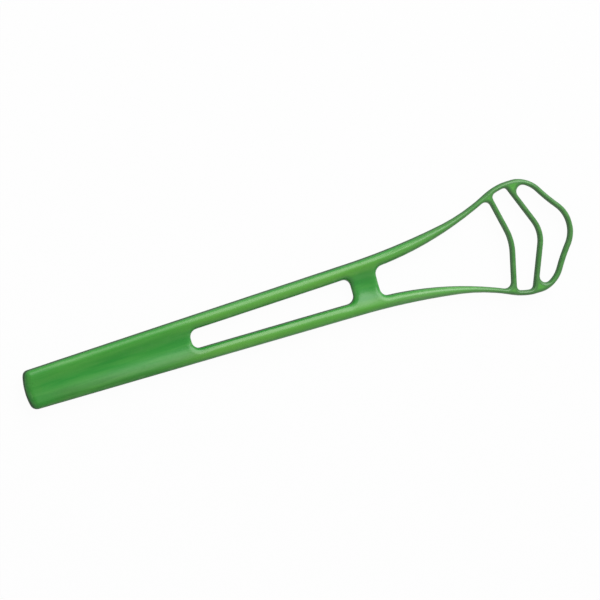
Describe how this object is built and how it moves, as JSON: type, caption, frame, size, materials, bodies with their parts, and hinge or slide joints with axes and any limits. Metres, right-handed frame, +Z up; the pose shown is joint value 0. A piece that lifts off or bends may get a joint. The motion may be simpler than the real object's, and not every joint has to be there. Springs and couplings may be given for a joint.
{
  "type": "tongue scraper",
  "caption": "Flat one-piece plastic tongue scraper: a slotted, dished handle flares into an open head that carries wavy scraping blades across its rim.",
  "frame": {"origin": "under the middle of the tool's length and width, on the plane of the handle's lower face", "axes": "+X along the tool from the handle end to the scraping tip, +Y to the left seen from above, +Z up through the thickness"},
  "size_m": [0.155, 0.0308, 0.0044],
  "materials": {
    "body_plastic": "mid green injection-moulded plastic with a soft satin gloss"
  },
  "bodies": {
    "root": {"handle_grip": "body_plastic", "left_rail": "body_plastic", "right_rail": "body_plastic", "bridge": "body_plastic", "left_arm": "body_plastic", "right_arm": "body_plastic", "left_shoulder": "body_plastic", "right_shoulder": "body_plastic", "rear_blade": "body_plastic", "middle_blade": "body_plastic", "tip_blade": "body_plastic"}
  },
  "joints": []
}
